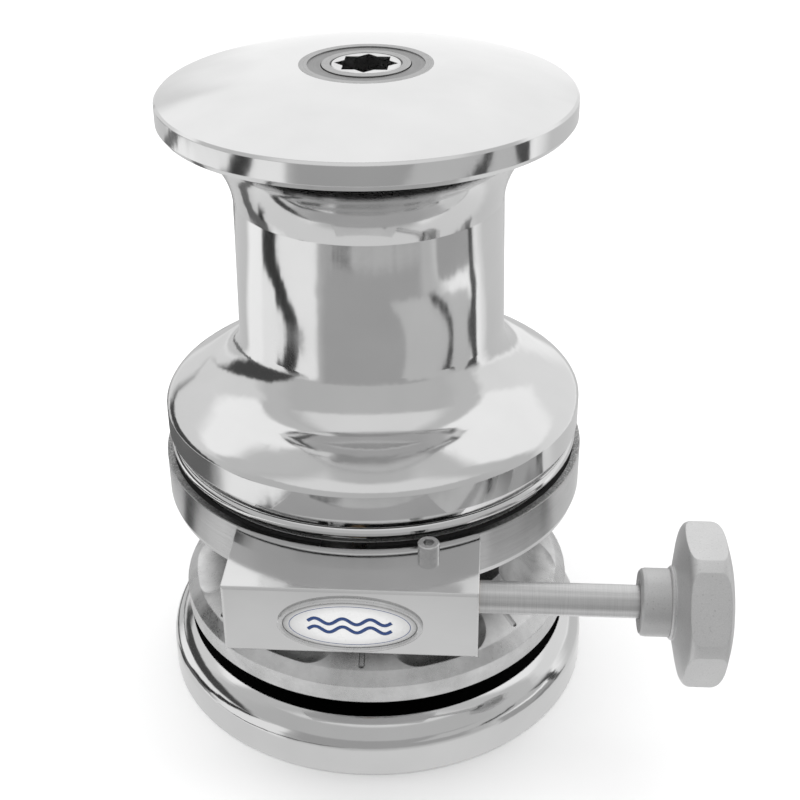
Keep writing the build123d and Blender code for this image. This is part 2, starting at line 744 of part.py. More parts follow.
def block_screw_planes():
    """Planes at the band's inner face where the brake block's screws pass, facing outwards."""
    planes = []
    for degrees_round in BLOCK_SCREW_ANGLES:
        angle = radians(degrees_round)
        radial = Vector(cos(angle), sin(angle), 0)
        planes.append(Plane(radial * BAND_INNER_R + Vector(0, 0, BLOCK_SCREW_Z), z_dir=radial))
    return planes


with BuildPart() as left_brake_jaw:
    jaw(-1)
    for plane in block_screw_planes():
        rod(plane.offset(-2), 2.5 + SLIP, 8, mode=Mode.SUBTRACT)
finish(left_brake_jaw.part, "left_brake_jaw")

with BuildPart() as right_brake_jaw:
    jaw(1)
    # Boss that reaches into the brake block and holds the trunnion nut
    with BuildSketch(Plane.XY.offset(SPINDLE_Z - TRUNNION_H / 2)):
        with Locations((TRUNNION_X, SPINDLE_Y)):
            Circle(BOSS_R)
        with Locations((RIGHT_JAW_END + 3.5, SPINDLE_Y + 7)):
            Rectangle(7, 10)
    extrude(amount=TRUNNION_H)
    ring(0, BAND_INNER_R, BAND_BOTTOM - 5, BAND_TOP + 5, mode=Mode.SUBTRACT)
    rod(upright(TRUNNION_X, SPINDLE_Y, SPINDLE_Z - 20), TRUNNION_R + RUN, 40, mode=Mode.SUBTRACT)
    rod(along_x(TRUNNION_X - 20), SPINDLE_R + 0.6, 60, mode=Mode.SUBTRACT)
finish(right_brake_jaw.part, "right_brake_jaw")

for side, side_name in ((-1, "left"), (1, "right")):
    with BuildPart() as lining:
        half_ring(side, (
            (LINING_INNER_R, BAND_BOTTOM + 0.8),
            (BAND_INNER_R, BAND_BOTTOM + 0.8),
            (BAND_INNER_R, BAND_TOP - 0.4),
            (LINING_INNER_R, BAND_TOP - 0.4),
        ))
        rivet_holes(side)
        if side < 0:
            for plane in block_screw_planes():
                rod(plane.offset(-5), 3.8, 5, mode=Mode.SUBTRACT)
    finish(lining.part, f"{side_name}_brake_lining")

    with BuildPart() as lining_rivets:
        for plane in rivet_planes(side):
            rod(plane, RIVET_R, RIVET_LENGTH)
    finish(lining_rivets.part, f"{side_name}_lining_rivets")

    with BuildPart() as pivot_bush:
        low, high = lug_heights(side)
        with BuildSketch(upright(0, POST_Y, low)):
            Circle(POST_PIN_R + 1.5)
            Circle(POST_PIN_R + RUN, mode=Mode.SUBTRACT)
        extrude(amount=high - low)
    finish(pivot_bush.part, f"{side_name}_pivot_bush")

with BuildPart() as block_screws:
    for plane in block_screw_planes():
        rod(plane.offset(-1.8), 3.6, 1.6)
        rod(plane.offset(-0.2), 2.5, 13.2)
finish(block_screws.part, "block_screws")

with BuildPart() as brake_block:
    with BuildSketch(Plane.XY.offset(BLOCK_BOTTOM)):
        with Locations((0, (BLOCK_FRONT + BLOCK_BACK) / 2)):
            Rectangle(2 * BLOCK_X, BLOCK_BACK - BLOCK_FRONT)
    extrude(amount=BLOCK_TOP - BLOCK_BOTTOM)
    chamfer(brake_block.faces().sort_by(Axis.Y)[0].edges(), 0.8)
    ring(0, BLOCK_BACK_R, BLOCK_BOTTOM - 1, BLOCK_TOP + 1, mode=Mode.SUBTRACT)
    # Pad that the left jaw is screwed to
    with BuildSketch(Plane.XY.offset(BAND_BOTTOM + 3)):
        with Locations((-BLOCK_X + 15, BLOCK_BACK - 4)):
            Rectangle(30, 20)
    extrude(amount=BAND_TOP - 1 - BAND_BOTTOM - 3)
    ring(0, BAND_R, BLOCK_BOTTOM - 1, BLOCK_TOP + 1, mode=Mode.SUBTRACT)
    # Cavity for the right jaw's boss, open at the back
    with BuildSketch(Plane.XY.offset(SPINDLE_Z - 10)):
        with Locations(((CAVITY_LEFT + CAVITY_RIGHT) / 2, SPINDLE_Y + 7)):
            Rectangle(CAVITY_RIGHT - CAVITY_LEFT, 40)
    extrude(amount=20, mode=Mode.SUBTRACT)
    # Bores for the spindle's bush and pilot
    rod(along_x(CAVITY_RIGHT - 1), BUSH_OUTER_R, 40, mode=Mode.SUBTRACT)
    rod(along_x(SPINDLE_LEFT - 0.5), SPINDLE_PILOT_R + RUN, 20, mode=Mode.SUBTRACT)
    # Tapped holes for the jaw screws and the spindle's retaining screw
    for plane in block_screw_planes():
        rod(plane, 2.5 + SLIP, 13.5, mode=Mode.SUBTRACT)
    rod(upright(RETAINER_X, RETAINER_Y, SPINDLE_Z - 8.5), 2.5 + SLIP, 30, mode=Mode.SUBTRACT)
finish(brake_block.part, "brake_block")

with BuildPart() as badge_rim:
    with BuildSketch(Plane((0, BLOCK_FRONT, BADGE_Z), x_dir=(1, 0, 0), z_dir=(0, -1, 0))):
        Ellipse(BADGE_HALF_LENGTH, BADGE_HALF_HEIGHT)
        Ellipse(BADGE_HALF_LENGTH - BADGE_RIM, BADGE_HALF_HEIGHT - BADGE_RIM, mode=Mode.SUBTRACT)
    extrude(amount=1.4)
    chamfer(badge_rim.edges().group_by(Axis.Y)[0], 0.5)
finish(badge_rim.part, "badge_rim")

with BuildPart() as badge_face:
    with BuildSketch(Plane((0, BLOCK_FRONT, BADGE_Z), x_dir=(1, 0, 0), z_dir=(0, -1, 0))):
        Ellipse(BADGE_HALF_LENGTH - BADGE_RIM, BADGE_HALF_HEIGHT - BADGE_RIM)
    extrude(amount=0.9)
    fillet(badge_face.edges().group_by(Axis.Y)[0], 0.6)
finish(badge_face.part, "badge_face")

with BuildPart() as spindle_bush:
    rod(along_x(CAVITY_RIGHT), BUSH_OUTER_R, BLOCK_X - CAVITY_RIGHT)
    rod(along_x(CAVITY_RIGHT - 1), SPINDLE_R + RUN, BLOCK_X, mode=Mode.SUBTRACT)
    rod(upright(RETAINER_X, RETAINER_Y, SPINDLE_Z - 8.5), 2.5 + SLIP, 30, mode=Mode.SUBTRACT)
finish(spindle_bush.part, "spindle_bush")

with BuildPart() as retaining_screw:
    rod(upright(RETAINER_X, RETAINER_Y, SPINDLE_Z - 8), 2.5, BLOCK_TOP - SPINDLE_Z + 8)
    rod(upright(RETAINER_X, RETAINER_Y, BLOCK_TOP), 4.25, 5)
    chamfer(retaining_screw.edges().group_by(Axis.Z)[-1], 0.4)
    with BuildSketch(upright(RETAINER_X, RETAINER_Y, BLOCK_TOP + 2)):
        RegularPolygon(2.3, 6)
    extrude(amount=4, mode=Mode.SUBTRACT)
finish(retaining_screw.part, "retaining_screw")

with BuildPart() as trunnion_nut:
    rod(upright(TRUNNION_X, SPINDLE_Y, SPINDLE_Z - TRUNNION_H / 2), TRUNNION_R, TRUNNION_H)
    rod(along_x(TRUNNION_X - 20), SPINDLE_THREAD_R + RUN, 40, mode=Mode.SUBTRACT)
finish(trunnion_nut.part, "trunnion_nut")


# --- brake spindle and hand knob ----------------------------------------------------------------

THREAD_END = 13.5
THRUST_COLLAR = (14.7, 20.7)
SPINDLE_RIGHT = 138.0
COLLAR_SCREW_X = 114.0
SPINDLE_AXIS = Axis((0, SPINDLE_Y, SPINDLE_Z), (1, 0, 0))
SPINDLE_SECTION = Plane((0, SPINDLE_Y, SPINDLE_Z), x_dir=(1, 0, 0), z_dir=(0, -1, 0))

with BuildPart() as brake_spindle:
    rod(along_x(SPINDLE_LEFT), SPINDLE_PILOT_R, THREAD_END - SPINDLE_LEFT)
    rod(along_x(CAVITY_LEFT + 1), SPINDLE_THREAD_R, THREAD_END - CAVITY_LEFT - 1)
    rod(along_x(THREAD_END), SPINDLE_R, SPINDLE_RIGHT - THREAD_END)
    # Groove that the retaining screw passes through
    with BuildSketch(along_x(RETAINER_X - 2.6)):
        Circle(SPINDLE_R + 1)
        Circle(RETAINER_GROOVE_R, mode=Mode.SUBTRACT)
    extrude(amount=5.2, mode=Mode.SUBTRACT)
    rod(upright(sum(THRUST_COLLAR) / 2, SPINDLE_Y, SPINDLE_Z - 10), 1 + SLIP, 20, mode=Mode.SUBTRACT)
finish(brake_spindle.part, "brake_spindle")

with BuildPart() as thrust_collar:
    rod(along_x(THRUST_COLLAR[0]), 8.2, THRUST_COLLAR[1] - THRUST_COLLAR[0])
    rod(along_x(0), SPINDLE_R + SLIP, 30, mode=Mode.SUBTRACT)
    rod(upright(sum(THRUST_COLLAR) / 2, SPINDLE_Y, SPINDLE_Z - 10), 1 + SLIP, 20, mode=Mode.SUBTRACT)
finish(thrust_collar.part, "thrust_collar")

with BuildPart() as collar_pin:
    rod(upright(sum(THRUST_COLLAR) / 2, SPINDLE_Y, SPINDLE_Z - 8), 1, 16)
finish(collar_pin.part, "collar_pin")

with BuildPart() as knob_collar:
    with BuildSketch(SPINDLE_SECTION):
        with BuildLine():
            Polyline(
                (COLLAR_LEFT + 3, SPINDLE_R + SLIP),
                (COLLAR_LEFT + 3, SPINDLE_R + 1.6),
                (COLLAR_LEFT, SPINDLE_R + 2.2),
                (COLLAR_LEFT, COLLAR_R - 1.2),
                (COLLAR_LEFT + 0.8, COLLAR_R - 0.3),
                (COLLAR_LEFT + 2.2, COLLAR_R),
                (KNOB_LEFT, COLLAR_R),
                (KNOB_LEFT, SPINDLE_R + SLIP),
                close=True,
            )
        make_face()
    revolve(axis=SPINDLE_AXIS)
    rod(Plane((COLLAR_SCREW_X, SPINDLE_Y, SPINDLE_Z), z_dir=(0, 1, 0)), 2.5 + SLIP, 20, mode=Mode.SUBTRACT)
finish(knob_collar.part, "knob_collar")

with BuildPart() as collar_screw:
    rod(Plane((COLLAR_SCREW_X, SPINDLE_Y + SPINDLE_R + 0.2, SPINDLE_Z), z_dir=(0, 1, 0)), 2.5, 6)
    with BuildSketch(Plane((COLLAR_SCREW_X, SPINDLE_Y + SPINDLE_R + 3, SPINDLE_Z), z_dir=(0, 1, 0))):
        RegularPolygon(1.5, 6)
    extrude(amount=6, mode=Mode.SUBTRACT)
finish(collar_screw.part, "collar_screw")

with BuildPart() as hand_knob:
    with BuildSketch(SPINDLE_SECTION):
        with BuildLine():
            back = Polyline(
                (KNOB_LEFT, SPINDLE_R + SLIP),
                (KNOB_LEFT, COLLAR_R + 0.4),
                (KNOB_LEFT + 0.6, COLLAR_R + 1.1),
                (KNOB_LEFT + 1.6, COLLAR_R + 0.8),
                (KNOB_LEFT + 4.4, KNOB_R - 4),
            )
            brow = Spline(back @ 1, (KNOB_LEFT + 8.2, KNOB_R), tangents=(back % 1, (1, 0)))
            rim = Line(brow @ 1, (KNOB_RIGHT - 7, KNOB_R))
            nose = Spline(rim @ 1, (KNOB_RIGHT - 2.2, KNOB_FLAT_R - 2), (KNOB_RIGHT, 15),
                          tangents=((1, 0), (0, -1)))
            Polyline(
                nose @ 1,
                (KNOB_RIGHT, 8),
                (SPINDLE_RIGHT + 0.5, 7),
                (SPINDLE_RIGHT + 0.5, SPINDLE_R + SLIP),
                back @ 0,
            )
        make_face()
    revolve(axis=SPINDLE_AXIS)
    # Grip flats round the rim
    for index in range(KNOB_FLATS):
        angle = radians(KNOB_FLAT_TILT + index * 360 / KNOB_FLATS)
        outward = Vector(0, -cos(angle), sin(angle))
        flat = Plane(Vector(KNOB_LEFT, SPINDLE_Y, SPINDLE_Z) + outward * KNOB_FLAT_R,
                     x_dir=(1, 0, 0), z_dir=outward)
        with BuildSketch(flat):
            Rectangle(80, 60)
        extrude(amount=10, mode=Mode.SUBTRACT)
finish(hand_knob.part, "hand_knob")
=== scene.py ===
from math import cos, pi, radians, sin

import bmesh
import bpy
from mathutils import Matrix, Vector


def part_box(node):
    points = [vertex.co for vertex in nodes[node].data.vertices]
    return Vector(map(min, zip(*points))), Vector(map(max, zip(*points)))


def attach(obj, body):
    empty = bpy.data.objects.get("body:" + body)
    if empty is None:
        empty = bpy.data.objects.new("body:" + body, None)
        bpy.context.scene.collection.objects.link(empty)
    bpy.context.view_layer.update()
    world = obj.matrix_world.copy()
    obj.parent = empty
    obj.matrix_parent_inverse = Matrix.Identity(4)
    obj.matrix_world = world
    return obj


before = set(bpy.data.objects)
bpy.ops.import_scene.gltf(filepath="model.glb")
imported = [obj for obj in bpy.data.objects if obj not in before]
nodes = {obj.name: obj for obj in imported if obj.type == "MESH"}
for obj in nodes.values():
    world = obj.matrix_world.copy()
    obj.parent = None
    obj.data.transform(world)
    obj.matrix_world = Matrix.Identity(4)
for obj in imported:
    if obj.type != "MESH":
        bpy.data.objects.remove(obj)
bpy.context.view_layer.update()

MM = 0.001


# --- places read from the frame -----------------------------------------------------------------

face_low, face_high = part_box("badge_face")

BADGE_CENTRE = (face_low + face_high) / 2
BADGE_HALF = (face_high - face_low) / 2


# --- helpers ------------------------------------------------------------------------------------

def add_object(name, data):
    """A new object in the scene."""
    made = bpy.data.objects.new(name, data)
    bpy.context.scene.collection.objects.link(made)
    return made


def grey(level):
    """An even grey, as a colour with its alpha."""
    return (level, level, level, 1.0)


class Finish:
    """A procedural material being built: its shader, its node tree and its object coordinates."""

    def __init__(self, name, metallic=1.0, **shader_inputs):
        self.material = bpy.data.materials.new(name)
        self.material.use_nodes = True
        self.tree = self.material.node_tree
        self.tree.nodes.clear()
        output = self.tree.nodes.new("ShaderNodeOutputMaterial")
        self.shader = self.tree.nodes.new("ShaderNodeBsdfPrincipled")
        self.tree.links.new(self.shader.outputs["BSDF"], output.inputs["Surface"])
        self.shader.inputs["Metallic"].default_value = metallic
        for label, value in shader_inputs.items():
            self.shader.inputs[label.replace("_", " ")].default_value = value
        self.place = self.node("ShaderNodeTexCoord").outputs["Object"]
        self.normal = None

    def node(self, kind, links=None, **settings):
        """Adds a node, with its settings and what feeds its inputs."""
        made = self.tree.nodes.new(kind)
        for label, value in settings.items():
            setattr(made, label, value)
        for label, value in (links or {}).items():
            socket = made.inputs[label]
            if isinstance(value, bpy.types.NodeSocket):
                self.tree.links.new(value, socket)
            else:
                socket.default_value = value
        return made

    def maths(self, operation, a, b=0.0):
        """One step of arithmetic on one or two values."""
        return self.node("ShaderNodeMath", {0: a, 1: b}, operation=operation).outputs[0]

    def axes(self, vector=None):
        """The x, y and z of a position."""
        return self.node("ShaderNodeSeparateXYZ", {0: vector or self.place}).outputs

    def stretched(self, x, y, z, centre=(0, 0, 0)):
        """Positions about a centre, multiplied along each axis, for a pattern drawn out one way."""
        moved = self.node("ShaderNodeVectorMath", {0: self.place, 1: centre}, operation="SUBTRACT")
        return self.node("ShaderNodeVectorMath", {0: moved.outputs[0], 1: (x, y, z)},
                         operation="MULTIPLY").outputs[0]

    def noise(self, vector, scale=1.0, detail=3.0, roughness=0.5):
        """Soft noise from 0 to 1."""
        return self.node("ShaderNodeTexNoise", {
            "Vector": vector, "Scale": scale, "Detail": detail, "Roughness": roughness,
        }).outputs["Fac"]

    def from_axis(self):
        """The distance from the main shaft's axis."""
        x, y, _ = self.axes()
        squares = self.maths("ADD", self.maths("MULTIPLY", x, x), self.maths("MULTIPLY", y, y))
        return self.maths("SQRT", squares)

    def around(self, lengthwise, crosswise, detail=2.0):
        """Noise drawn out into fine lines that run round the main shaft's axis, on any turned surface."""
        return self.node("ShaderNodeTexNoise", {
            "Vector": self.stretched(lengthwise, lengthwise, crosswise),
            "W": self.maths("MULTIPLY", self.from_axis(), crosswise),
            "Scale": 1.0, "Detail": detail,
        }, noise_dimensions="4D").outputs["Fac"]

    def ramp(self, factor, *stops):
        """Grey levels, or colours, along a factor: each stop is (place, value)."""
        made = self.node("ShaderNodeValToRGB", {"Fac": factor})
        elements = made.color_ramp.elements
        while len(elements) < len(stops):
            elements.new(0.5)
        for element, (place, value) in zip(elements, stops):
            element.position = place
            colour = (value, value, value) if isinstance(value, (int, float)) else value
            element.color = (*colour, 1.0)
        return made.outputs["Color"]

    def spread(self, factor, low, high):
        """A factor from 0 to 1 spread between two values."""
        return self.node("ShaderNodeMapRange", {
            "Value": factor, "To Min": low, "To Max": high,
        }).outputs["Result"]

    def step(self, value, start, end, **settings):
        """A value turned into a factor: 0 at the start and before it, 1 at the end and past it."""
        return self.node("ShaderNodeMapRange", {
            "Value": value, "From Min": start, "From Max": end,
        }, **settings).outputs["Result"]

    def facing_up(self, low, high):
        """1 where the surface faces up, 0 where it doesn't, with a soft edge between the two slopes."""
        normal = self.node("ShaderNodeTexCoord").outputs["Normal"]
        return self.step(self.axes(normal)[2], low, high)

    def within(self, radius, soft):
        """1 within a radius of the main shaft's axis, 0 outside it, with an edge this soft inside it."""
        return self.step(self.from_axis(), radius, radius - soft)

    def mixed(self, factor, a, b):
        """Colours a and b mixed by a factor: 0 gives a, 1 gives b."""
        return self.node("ShaderNodeMix", {"Factor": factor, "A": a, "B": b},
                         data_type="RGBA").outputs["Result"]

    def blend(self, factor, a, b):
        """Values a and b mixed by a factor: 0 gives a, 1 gives b."""
        return self.node("ShaderNodeMix", {"Factor": factor, "A": a, "B": b}).outputs["Result"]

    def feed(self, label, source):
        """Links a socket to one of the shader's inputs."""
        self.tree.links.new(source, self.shader.inputs[label])

    def bump(self, height, distance):
        """Adds relief to the surface, over any that it has already: distance is its depth in metres."""
        links = {"Height": height, "Distance": distance, "Strength": 1.0}
        if self.normal is not None:
            links["Normal"] = self.normal
        self.normal = self.node("ShaderNodeBump", links).outputs["Normal"]
        self.feed("Normal", self.normal)

    def soft_edges(self, radius):
        """Rounds the shading of sharp edges by this radius, in metres."""
        self.normal = self.node("ShaderNodeBevel", {"Radius": radius}, samples=4).outputs["Normal"]
        self.feed("Normal", self.normal)


# --- materials ----------------------------------------------------------------------------------

HAIRLINES = 0.6                 # strength of the hairlines and the haze that polishing leaves
HAIRLINE_DEPTH = 0.0012 * MM    # at full strength
BROAD_RIPPLE = 6                # times as deep as the fine ripple
WAVE_DEPTH = 1.4 * MM           # of the long waves that hand polishing leaves about a waist


def polished(name, edge=0.4 * MM, ripple=0.02 * MM, shade=(0.70, 0.83), waist=None, painted_shade_within=None):
    """Mirror-polished stainless steel: ripples from hand polishing, hairlines round the main axis and faint
    wiping marks. It may be shaded a little hollow, with long waves, about a waist, which is (height, reach,
    depth). Within a radius of the axis it may be painted black, as painted shade in the recess there."""
    f = Finish(name)
    f.soft_edges(edge)
    cloud = f.noise(f.place, scale=28, detail=3)
    wiped = f.noise(f.stretched(60, 900, 260), detail=4, roughness=0.65)
    lines = f.around(14, 2600)
    colour = f.mixed(cloud, grey(shade[0]), grey(shade[1]))
    haze = f.maths("MULTIPLY", f.spread(wiped, 0.4, 1.6), f.spread(cloud, 0.5, 1.5))
    rough = f.spread(f.maths("MULTIPLY", haze, HAIRLINES), 0.035, 0.13)
    if painted_shade_within:
        # painted shade: the recess is painted black, standing in for the shade that falls in it
        recess = f.within(painted_shade_within, soft=0.3 * MM)
        colour = f.mixed(recess, colour, f.ramp(cloud, (0.3, 0.004), (0.7, 0.012)))
        rough = f.blend(recess, rough, 0.6)
    f.feed("Base Color", colour)
    f.feed("Roughness", rough)
    if waist:
        middle, reach, depth = waist
        _, _, z = f.axes()
        offset = f.maths("TANH", f.maths("DIVIDE", f.maths("SUBTRACT", z, middle), reach))
        f.bump(f.maths("MULTIPLY", offset, offset), depth)
        f.bump(f.noise(f.place, scale=12, detail=0), WAVE_DEPTH)
    f.bump(f.noise(f.place, scale=34, detail=1), ripple * BROAD_RIPPLE)
    f.bump(f.noise(f.place, scale=120, detail=2), ripple)
    f.bump(lines, HAIRLINE_DEPTH * HAIRLINES)
    return f.material


SHADE_NEAR_BLOCK_TO = 45 * MM       # a cast top is painted near black, as painted shade under the drum, this far to each side of the block's middle
UNSHADED_FROM = 80 * MM    # and shows its own granular grey from here


def satin_round(name, shade=(0.42, 0.62), roughness=(0.2, 0.36), dark_top=False):
    """Stainless steel brushed round the main axis. A dark top is left as it was cast, rough, and painted
    darker towards the block, as painted shade under the drum."""
    f = Finish(name)
    f.soft_edges(0.3 * MM)
    brushed = f.around(30, 3200, detail=3)
    cloud = f.noise(f.place, scale=45, detail=4, roughness=0.6)
    tone = f.blend(0.5, brushed, cloud)
    colour = f.ramp(tone, (0.3, shade[0]), (0.7, shade[1]))
    rough = f.spread(tone, *roughness)
    if dark_top:
        grain = f.noise(f.place, scale=1500, detail=4, roughness=0.7)
        top = f.facing_up(0.55, 0.8)
        aside = f.step(f.maths("ABSOLUTE", f.axes()[0]), SHADE_NEAR_BLOCK_TO, UNSHADED_FROM)
        # painted shade near the block, then the top's own granular grey away from it
        shade_near_block = f.ramp(grain, (0.32, 0.008), (0.72, 0.06))
        wiped = f.ramp(grain, (0.30, 0.14), (0.50, 0.42), (0.70, 0.85))
        colour = f.mixed(top, colour, f.mixed(aside, shade_near_block, wiped))
        rough = f.blend(top, rough, 0.55)
        f.bump(f.maths("MULTIPLY", grain, top), 0.35 * MM)
    f.feed("Base Color", colour)
    f.feed("Roughness", rough)
    f.bump(brushed, 0.0015 * MM)
    f.bump(cloud, 0.02 * MM)
    return f.material


def turned_along_x(name, shade, roughness):
    """Steel turned about the brake spindle's axis: fine tool rings, with faint lengthwise draw marks."""
    f = Finish(name)
    f.soft_edges(0.25 * MM)
    rings = f.noise(f.stretched(4200, 90, 90), detail=2)
    drawn = f.noise(f.stretched(18, 1400, 1400), detail=3)
    tone = f.blend(0.45, rings, drawn)
    f.feed("Base Color", f.ramp(tone, (0.32, shade[0]), (0.68, shade[1])))
    f.feed("Roughness", f.spread(tone, *roughness))
    f.bump(rings, 0.0015 * MM)
    f.bump(drawn, 0.002 * MM)
    return f.material


def cast(name, shade, painted_shade_inside=None):
    """Tumbled stainless casting: satin and finely pebbled. Within a radius of the main shaft's axis it may
    be painted darker, as painted shade inside its rims."""
    f = Finish(name)
    f.soft_edges(0.7 * MM)
    pebble = f.noise(f.place, scale=900, detail=3, roughness=0.6)
    cloud = f.noise(f.place, scale=60, detail=5, roughness=0.62)
    colour = f.ramp(cloud, (0.3, shade[0]), (0.7, shade[1]))
    if painted_shade_inside:
        # painted shade: darker within the radius, standing in for shade and the block's dark reflection
        dull = f.ramp(cloud, (0.3, 0.22), (0.7, 0.42))
        colour = f.mixed(f.within(painted_shade_inside, soft=9 * MM), colour, dull)
    f.feed("Base Color", colour)
    f.feed("Roughness", f.spread(f.maths("MULTIPLY", pebble, cloud), 0.20, 0.60))
    f.bump(f.noise(f.place, scale=70, detail=2), 0.25 * MM)
    f.bump(pebble, 0.018 * MM)
    return f.material


def blasted(name, shade, grain_depth=0.03 * MM):
    """Bead-blasted aluminium: matte, with a fine even grain and a few darker specks."""
    f = Finish(name)
    f.soft_edges(0.6 * MM)
    grain = f.noise(f.place, scale=2600, detail=2, roughness=0.6)
    specks = f.noise(f.place, scale=1300, detail=1)
    cloud = f.noise(f.place, scale=60, detail=3)
    base = f.ramp(f.blend(0.4, grain, cloud), (0.3, shade[0]), (0.7, shade[1]))
    f.feed("Base Color", f.mixed(f.spread(specks, -2.0, 1.2), base, grey(shade[0] * 0.75)))
    f.feed("Roughness", f.spread(grain, 0.42, 0.56))
    f.bump(grain, grain_depth)
    return f.material


def ground(name, shade=(0.30, 0.44), roughness=(0.22, 0.34)):
    """Ground bearing steel: even, with fine rings round the main axis."""
    f = Finish(name)
    f.soft_edges(0.2 * MM)
    rings = f.around(20, 3000)
    cloud = f.noise(f.place, scale=220, detail=3)
    tone = f.blend(0.4, rings, cloud)
    f.feed("Base Color", f.ramp(tone, (0.3, shade[0]), (0.7, shade[1])))
    f.feed("Roughness", f.spread(tone, *roughness))
    f.bump(rings, 0.003 * MM)
    return f.material


def fastener(name):
    """A stainless screw or nut: bright, with rolled and machined marks."""
    f = Finish(name)
    f.soft_edges(0.25 * MM)
    marks = f.noise(f.stretched(700, 700, 2400), detail=3)
    f.feed("Base Color", f.ramp(marks, (0.3, 0.58), (0.7, 0.70)))
    f.feed("Roughness", f.spread(marks, 0.16, 0.28))
    f.bump(marks, 0.0015 * MM)
    return f.material


def yellow_metal(name, dark, light):
    """Bronze or copper with machining marks and a slight tarnish."""
    f = Finish(name)
    marks = f.noise(f.stretched(400, 400, 2600), detail=3)
    tarnish = f.noise(f.place, scale=180, detail=4)
    f.feed("Base Color", f.ramp(f.blend(0.6, marks, tarnish), (0.3, dark), (0.7, light)))
    f.feed("Roughness", f.spread(tarnish, 0.22, 0.42))
    f.bump(marks, 0.006 * MM)
    return f.material


def lining(name):
    """Woven friction lining: dull, dark and granular, with paler fibres."""
    f = Finish(name, metallic=0.0)
    grain = f.noise(f.place, scale=1400, detail=5, roughness=0.75)
    fibres = f.noise(f.stretched(900, 900, 200), detail=3)
    dark = f.ramp(grain, (0.3, 0.003), (0.7, 0.018))
    f.feed("Base Color", f.mixed(f.spread(fibres, -0.4, 1.0), dark, grey(0.02)))
    f.feed("Roughness", f.spread(grain, 0.75, 0.95))
    f.bump(grain, 0.08 * MM)
    return f.material


def rubber(name):
    """Black nitrile rubber with a faint bloom."""
    f = Finish(name, metallic=0.0)
    bloom = f.noise(f.place, scale=300, detail=4)
    f.feed("Base Color", f.ramp(bloom, (0.3, 0.010), (0.7, 0.028)))
    f.feed("Roughness", f.spread(bloom, 0.45, 0.7))
    f.bump(bloom, 0.02 * MM)
    return f.material


def enamel(name, colour, coat=0.6):
    """Enamel under a clear coat: nearly even, with a faint cloudiness. This gives back the finish, not its
    material, so that more can be added to it."""
    f = Finish(name, metallic=0.0, Coat_Weight=coat, Coat_Roughness=0.04)
    cloud = f.noise(f.place, scale=240, detail=3)
    deeper = tuple(0.9 * level for level in colour)
    f.feed("Base Color", f.ramp(cloud, (0.2, deeper), (0.8, colour)))
    f.feed("Roughness", f.spread(cloud, 0.22, 0.34))
    f.bump(cloud, 0.002 * MM)
    return f


def badge_enamel():
    """The badge's pale enamel, painted darker towards the rim, as painted shade under the edge of its clear
    dome.
    """
    f = enamel("badge_enamel", (0.80, 0.80, 0.80))
    scaled = f.stretched(1 / BADGE_HALF.x, 0, 1 / BADGE_HALF.z, centre=BADGE_CENTRE)
    outward = f.node("ShaderNodeVectorMath", {0: scaled}, operation="LENGTH").outputs["Value"]
    # painted shade: the enamel darkens towards the rim
    f.feed("Base Color", f.ramp(outward, (0.0, 0.80), (0.6, 0.74), (0.86, 0.56), (1.0, 0.30)))
    return f.material


def paint(material, *names):
    """Gives CAD nodes their material."""
    for name in names:
        for slot in nodes[name].material_slots:
            slot.material = material


DRUM_WAIST = (200 * MM, 35 * MM, 6 * MM)
BASE_RECESS_SHADE = 85.7 * MM      # radius within which the base's recess is painted black, as painted shade, round the gypsy
GYPSY_SHADE_RADIUS = 81.5 * MM     # radius within which the gypsy is painted darker, as painted shade inside its rims

paint(polished("drum_polish", waist=DRUM_WAIST), "warping_drum")
paint(polished("cone_polish", ripple=0.01 * MM), "upper_clutch_cone")
paint(polished("base_polish", shade=(0.68, 0.80), painted_shade_within=BASE_RECESS_SHADE), "base_casting")
paint(polished("block_polish", edge=0.7 * MM, ripple=0.012 * MM, shade=(0.66, 0.78)), "brake_block")
paint(satin_round("band_satin", shade=(0.50, 0.64), roughness=(0.14, 0.26), dark_top=True),
      "left_brake_jaw", "right_brake_jaw")
paint(satin_round("shaft_satin"),
      "main_shaft", "anchor_post", "lower_clutch_cone", "chain_stripper")
paint(satin_round("nut_satin", shade=(0.62, 0.80), roughness=(0.12, 0.22)), "clutch_nut")
paint(turned_along_x("spindle_turned", shade=(0.56, 0.70), roughness=(0.28, 0.38)),
      "brake_spindle", "thrust_collar")
paint(cast("gypsy_cast", shade=(0.56, 0.82), painted_shade_inside=GYPSY_SHADE_RADIUS), "chain_gypsy")
paint(cast("badge_rim_cast", shade=(0.62, 0.84)), "badge_rim")
paint(blasted("knob_blasted", shade=(0.66, 0.80)), "hand_knob")
paint(blasted("collar_blasted", shade=(0.56, 0.68), grain_depth=0.01 * MM), "knob_collar")
paint(ground("bearing_ground"),
      "top_bearing_outer_race", "top_bearing_inner_race", "top_bearing_balls",
      "lower_bearing_outer_race", "lower_bearing_inner_race", "lower_bearing_balls")
paint(ground("shield_dark", shade=(0.22, 0.32), roughness=(0.3, 0.42)), "top_bearing_shield")
paint(ground("spring_steel", shade=(0.2, 0.34), roughness=(0.3, 0.45)),
      "release_spring", "bearing_retaining_ring", "shaft_circlip", "cone_key", "drum_key",
      "pressure_washer")
paint(fastener("fastener_steel"),
      "cone_screws", "block_screws", "retaining_screw", "collar_screw", "collar_pin",
      "stripper_screw", "anchor_post_washer", "anchor_post_nut")
paint(yellow_metal("bronze", dark=(0.30, 0.19, 0.09), light=(0.62, 0.44, 0.24)),
      "gypsy_bush", "left_pivot_bush", "right_pivot_bush", "spindle_bush", "trunnion_nut")
paint(yellow_metal("copper", dark=(0.40, 0.17, 0.10), light=(0.80, 0.45, 0.32)),
      "left_lining_rivets", "right_lining_rivets")
paint(lining("friction_lining"), "left_brake_lining", "right_brake_lining")
paint(rubber("seal_rubber"), "shaft_seal")
paint(badge_enamel(), "badge_face")


# --- the badge's mark ---------------------------------------------------------------------------

